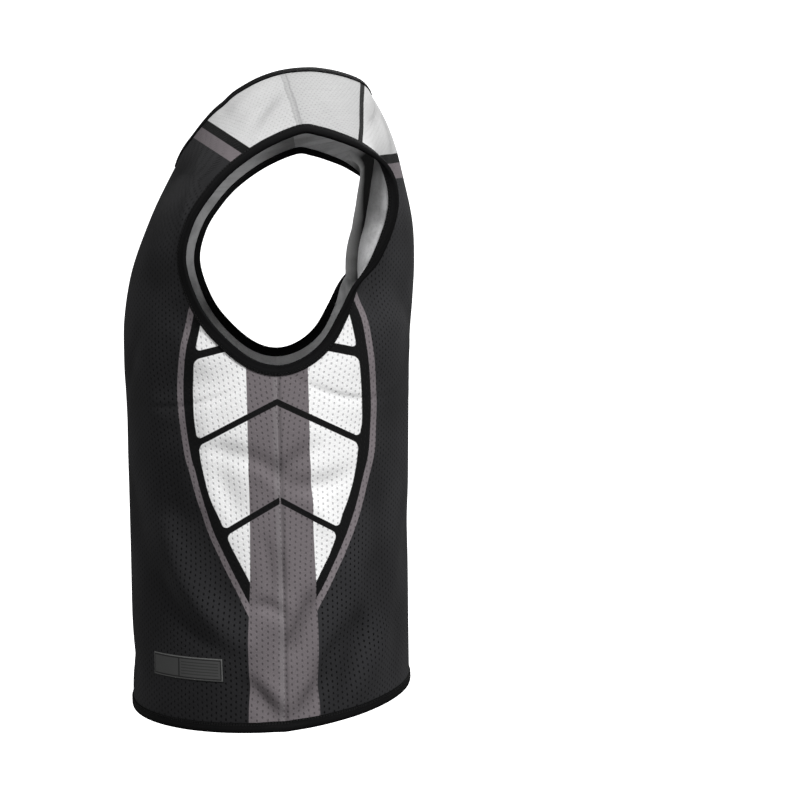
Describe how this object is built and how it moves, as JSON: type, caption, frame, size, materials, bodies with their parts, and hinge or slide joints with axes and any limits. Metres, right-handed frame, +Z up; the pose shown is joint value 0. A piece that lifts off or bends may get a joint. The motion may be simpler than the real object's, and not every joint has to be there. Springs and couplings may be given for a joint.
{
  "type": "reversible lacrosse jersey",
  "caption": "Sleeveless two-ply net jersey filled out as if worn: dark ply outside, light ply inside, plies joined at the bound neck, armholes and hem.",
  "frame": {"origin": "midway between the two shoulder straps, at the height where they rest on the wearer's shoulders", "axes": "+X to the wearer's left, +Y to the wearer's back, +Z up toward the neck"},
  "size_m": [0.4016, 0.3169, 0.678],
  "materials": {
    "dark_net": "matte polyester net",
    "light_net": "matte polyester net",
    "black_tape": "matte knitted binding tape",
    "grey_label": "smooth bonded print film"
  },
  "bodies": {
    "root": {"outer_front": "dark_net", "outer_back": "dark_net", "inner_front": "light_net", "inner_back": "light_net", "neck_binding": "black_tape", "armhole_binding_left": "black_tape", "armhole_binding_right": "black_tape", "hem_binding": "black_tape", "size_label": "grey_label"}
  },
  "joints": []
}
